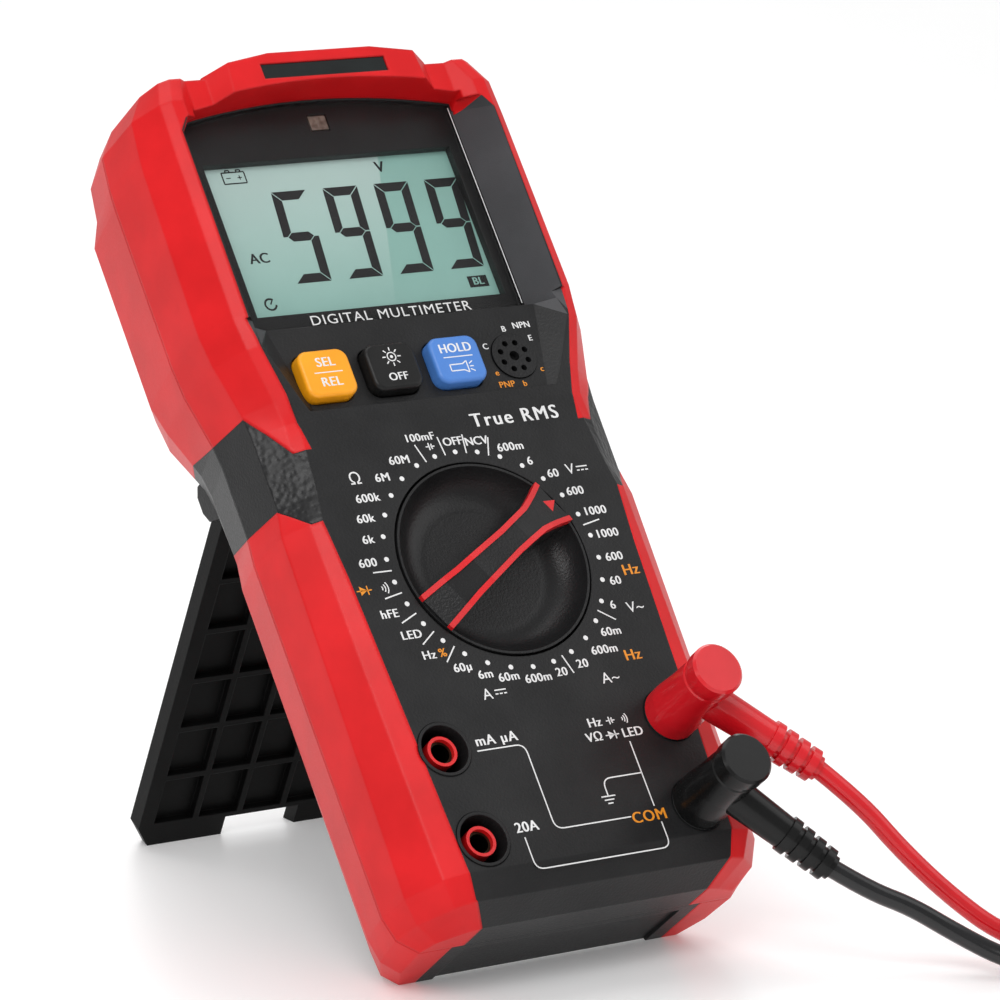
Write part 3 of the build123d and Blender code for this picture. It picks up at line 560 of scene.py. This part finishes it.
def diode(ink, x, y, size):
    ink.line([(x - size * 1.3, y), (x + size * 1.3, y)], 0.24)
    ink.face([(x - size * 0.7, y - size * 0.75), (x + size * 0.5, y), (x - size * 0.7, y + size * 0.75)])
    ink.line([(x + size * 0.6, y - size * 0.75), (x + size * 0.6, y + size * 0.75)], 0.26)


def waves(ink, x, y, size):
    for k in (0.35, 0.7, 1.05):
        ink.arc(x, y, size * k * 1.4, -38, 38, 0.24, 6)


def capacitor(ink, x, y, size):
    ink.line([(x - size, y), (x - size * 0.25, y)], 0.24)
    ink.line([(x - size * 0.25, y - size * 0.8), (x - size * 0.25, y + size * 0.8)], 0.26)
    ink.arc(x + size * 1.25, y, size, 145, 215, 0.26, 6)
    ink.line([(x + size * 0.25, y), (x + size, y)], 0.24)


dial_scale()
divider_lines()
white.text("100mF", -6.6, 27.8, 1.7, bold=True)
capacitor(white, -4.9, 25.6, 1.0)
white.text("Ω", -24.1, 20.5, 2.6)
white.text("V", 24.8, 17.0, 2.3)
dashes(white, 27.6, 17.0)
white.text("V~", 27.7, -14.4, 2.3)
white.text("A~", 16.0, -28.5, 2.3)
white.text("A", -12.5, -28.2, 2.3)
dashes(white, -9.4, -28.0)
white.text("True RMS", 16.7, 30.0, 3.0, bold=True, spacing=1.2)
orange.text("Hz", 29.8, -6.3, 2.3, bold=True)
orange.text("Hz", 22.9, -24.4, 2.3, bold=True)
orange.text("%", -18.9, -18.3, 1.75, bold=True)
waves(white, -27.4, -3.2, 1.3)
diode(orange, -30.9, -3.2, 1.3)

# the jacks' names
white.text("mA µA", -14.2, -37.5, 2.1, bold=True, spacing=1.12)
white.text("20A", -14.6, -56.2, 2.1, bold=True)
white.text("Hz", 8.6, -37.3, 1.9, bold=True)
capacitor(white, 12.3, -37.3, 1.0)
waves(white, 14.6, -37.3, 1.1)
white.text("VΩ", 7.4, -40.3, 1.9, bold=True)
diode(white, 11.6, -40.3, 1.2)
white.text("LED", 16.3, -40.4, 1.9, bold=True)
orange.text("COM", 13.0, -58.1, 2.3, bold=True, spacing=1.12)


def rounded(points, radius, steps=5):
    """A run of straight lines with the corners between them rounded."""
    made = [Vector(points[0])]
    for before, corner, after in zip(points, points[1:], points[2:]):
        corner = Vector(corner)
        first = corner + (Vector(before) - corner).normalized() * radius
        last = corner + (Vector(after) - corner).normalized() * radius
        for k in range(steps + 1):
            t = k / steps
            made.append(first * (1 - t) ** 2 + corner * 2 * t * (1 - t) + last * t**2)
    made.append(Vector(points[-1]))
    return [tuple(point) for point in made]


JACK_LINES = (
    [(-19.2, -39.4), (-8.5, -39.4), (-8.5, -57.6), (8.9, -57.6)],
    [(-15.8, -58.2), (-15.8, -65.0), (15.2, -65.0), (15.2, -59.6)],
    [(14.9, -42.2), (14.9, -56.2)],
    [(14.9, -49.0), (5.6, -49.0), (5.6, -52.6)],
)
JACK_LINE_WIDTH = 0.26
JACK_LINE_CORNER = 2.0
EARTH_PLACE = (5.6, -52.7)
EARTH_PITCH = 0.75


def jack_lines():
    """The lines between the jacks' names, and the earth sign that one of them ends in."""
    for run in JACK_LINES:
        white.line(rounded(run, JACK_LINE_CORNER) if len(run) > 2 else run, JACK_LINE_WIDTH)
    x, top = EARTH_PLACE
    for k, half in enumerate((1.6, 1.1, 0.6)):
        white.line([(x - half, top - EARTH_PITCH * k), (x + half, top - EARTH_PITCH * k)], JACK_LINE_WIDTH)


jack_lines()
white.make()
orange.make()

panel_white = Print("panel_print_white", "print_white", PANEL_Z)
panel_orange = Print("panel_print_orange", "print_orange", PANEL_Z)
SOCKET_LETTER = 1.3
for words, x, y in (("C", 16.5, 46.4), ("B", 22.2, 49.9), ("E", 27.6, 47.3)):
    panel_white.text(words, x, y, SOCKET_LETTER, bold=True)
for words, x, y in (("e", 16.9, 40.3), ("b", 22.4, 37.3), ("c", 27.6, 40.2)):
    panel_orange.text(words, x, y, SOCKET_LETTER, bold=True)
panel_white.text("NPN", 26.6, 50.4, 1.4, bold=True)
panel_orange.text("PNP", 18.2, 37.5, 1.4, bold=True)
panel_white.make()
panel_orange.make()

BUTTON_Z = 2.29
BUTTON_Y = 43.1
BUTTON_X = {"select": -22.8, "backlight": -7.6, "hold": 7.4}


def button_print(key, draw):
    ink = Print(f"{key}_button_print", "print_white", BUTTON_Z, f"{key}_key", slot_of[f"{key}_button"])
    draw(ink, BUTTON_X[key])
    ink.make()


def draw_select(ink, x):
    ink.text("SEL", x, BUTTON_Y + 2.2, 2.0, bold=True)
    ink.line([(x - 3.2, BUTTON_Y), (x + 3.2, BUTTON_Y)], 0.22)
    ink.text("REL", x, BUTTON_Y - 2.2, 2.0, bold=True)


def draw_backlight(ink, x):
    y = BUTTON_Y + 1.9
    ink.arc(x, y, 0.95, 0, 360, 0.25, 20)
    ink.dot(x, y, 0.35, 8)
    for k in range(8):
        turn = math.radians(45 * k)
        ink.line([(x + r * math.cos(turn), y + r * math.sin(turn)) for r in (1.35, 2.1)], 0.25)
    ink.text("OFF", x, BUTTON_Y - 2.6, 1.7, bold=True)


def draw_hold(ink, x):
    ink.text("HOLD", x, BUTTON_Y + 2.3, 2.0, bold=True, stretch=0.92)
    ink.line([(x - 3.4, BUTTON_Y + 0.4), (x + 3.4, BUTTON_Y + 0.4)], 0.22)
    y = BUTTON_Y - 2.0
    torch = [(-2.6, -0.7), (0.4, -0.7), (1.4, -1.3), (1.4, 1.3), (0.4, 0.7), (-2.6, 0.7), (-2.6, -0.7)]
    ink.line([(x + a, y + b) for a, b in torch], 0.24)
    for slope in (-0.6, 0.0, 0.6):
        ink.line([(x + 1.9, y + slope), (x + 2.8, y + slope * 1.9)], 0.22)


button_print("select", draw_select)
button_print("backlight", draw_backlight)
button_print("hold", draw_hold)

# ---- display ----
LCD_Z = -7.29
LENS_PRINT_Z = -3.805
BADGE_LIFT = 0.04
READING = "5999"
FIRST_DIGIT = (-11.5, 78.6)
DIGIT_PITCH = 12.1
LIT = {"5": "afgcd", "9": "abcdfg"}  # the bars each digit lights, named as in digit_bars
DIGIT_HALF = (4.1, 10.6)  # half its width and half its height
DIGIT_LEAN = 0.075
STROKE = 2.1
SEGMENT_SHARE = 0.965  # each bar is drawn this much smaller than its place, which leaves the gaps


def digit_bars():
    """The outlines of a digit's seven bars, with mitred ends."""
    w, h, t = *DIGIT_HALF, STROKE
    top = [(-w, h), (w, h), (w - t, h - t), (t - w, h - t)]
    right = [(w, h), (w, 0), (w - t / 2, 0), (w - t, t / 2), (w - t, h - t)]
    middle = [
        (t / 2 - w, 0), (t - w, t / 2), (w - t, t / 2), (w - t / 2, 0), (w - t, -t / 2), (t - w, -t / 2),
    ]
    left = [(-x, y) for x, y in right]
    return {
        "a": top, "b": right, "c": [(x, -y) for x, y in right], "d": [(x, -y) for x, y in top],
        "e": [(x, -y) for x, y in left], "f": left, "g": middle,
    }


def digit(ink, number, x, y):
    bars = digit_bars()
    for name in LIT[number]:
        bar = [Vector(point) for point in bars[name]]
        middle = sum(bar, Vector((0, 0))) / len(bar)
        bar = [middle + (point - middle) * SEGMENT_SHARE for point in bar]
        ink.face([(x + px + DIGIT_LEAN * py, y + py) for px, py in bar])


def draw_display():
    ink = Print("display_digits", "lcd_ink", LCD_Z, slot="lcd_glass")
    for k, number in enumerate(READING):
        digit(ink, number, FIRST_DIGIT[0] + DIGIT_PITCH * k, FIRST_DIGIT[1])
    ink.text("V", 12.4, 92.9, 2.5, bold=True)
    ink.text("AC", -22.7, 74.4, 2.3, bold=True)
    battery = [(-24.4, 91.9), (-19.2, 91.9), (-19.2, 94.5), (-24.4, 94.5), (-24.4, 91.9)]
    ink.line(battery, 0.28)
    for x in (-23.4, -20.9):
        ink.line([(x, 94.5), (x, 95.0), (x + 0.9, 95.0), (x + 0.9, 94.5)], 0.28)
    ink.line([(-23.6, 93.2), (-22.6, 93.2)], 0.2)
    ink.line([(-21.0, 93.2), (-20.0, 93.2)], 0.2)
    ink.line([(-20.5, 92.7), (-20.5, 93.7)], 0.2)
    ink.arc(-23.9, 64.0, 1.25, 60, 350, 0.42, 14)
    ink.line([(-23.9, 64.0), (-23.1, 65.2)], 0.3)
    ink.face([(23.0, 63.4), (27.6, 63.4), (27.6, 66.0), (23.0, 66.0)])
    ink.make()
    badge = Print("display_badge", "lcd_glass", LCD_Z + BADGE_LIFT, slot="lcd_glass")
    badge.text("BL", 25.3, 64.7, 1.7, bold=True)
    badge.make()
    lens = Print("lens_print_and_highlight", "print_white", LENS_PRINT_Z, slot="clear_lens")
    lens.text("DIGITAL MULTIMETER", 0.1, 57.6, 2.15, spacing=1.12, stretch=1.13)
    # painted highlight: a thin white line down the lens's right edge, for the light caught on its bevel
    lens.line([(31.15, 57.0), (31.15, 103.5)], 0.2)
    lens.make()


draw_display()


# ---- studio ----
FLOOR_HALF = 6.0


def add_floor():
    mesh = bpy.data.meshes.new("floor")
    corners = [(x * FLOOR_HALF, y * FLOOR_HALF, 0) for x, y in ((-1, -1), (1, -1), (1, 1), (-1, 1))]
    mesh.from_pydata(corners, [], [(0, 1, 2, 3)])
    floor = link("floor", mesh)
    glow = {"Emission_Color": (1, 1, 1, 1), "Emission_Strength": 0.15}
    paint = finish(
        "floor_white", (0.86, 0.86, 0.86), (0.88, 0.88, 0.88), 0.35, grain=0.0, cloud_size=400, **glow
    )
    floor.data.materials.append(paint)


def add_light(name, place, size, power, target=None):
    data = bpy.data.lights.new(name, "AREA")
    data.size = size
    data.energy = power
    light = bpy.data.objects.new(name, data)
    light.location = place
    aim = (target or DIAL) - Vector(place)
    light.rotation_euler = aim.to_track_quat("-Z", "Y").to_euler()
    bpy.context.scene.collection.objects.link(light)


def add_studio():
    add_floor()
    add_light("key", (-0.9, -0.9, 1.3), 0.9, 15.0)
    add_light("fill", (1.3, -0.8, 0.9), 1.2, 5.0)
    add_light("top", (0.0, 0.5, 1.6), 1.4, 9.0)
    add_light("backdrop", (1.6, 3.2, 2.2), 3.0, 60.0, Vector((1.6, 3.2, 0)))
    world = bpy.data.worlds.new("studio")
    world.use_nodes = True
    background = world.node_tree.nodes["Background"]
    background.inputs["Color"].default_value = (1, 1, 1, 1)
    background.inputs["Strength"].default_value = 0.5
    bpy.context.scene.world = world
    bpy.context.scene.view_settings.view_transform = "Standard"


add_studio()
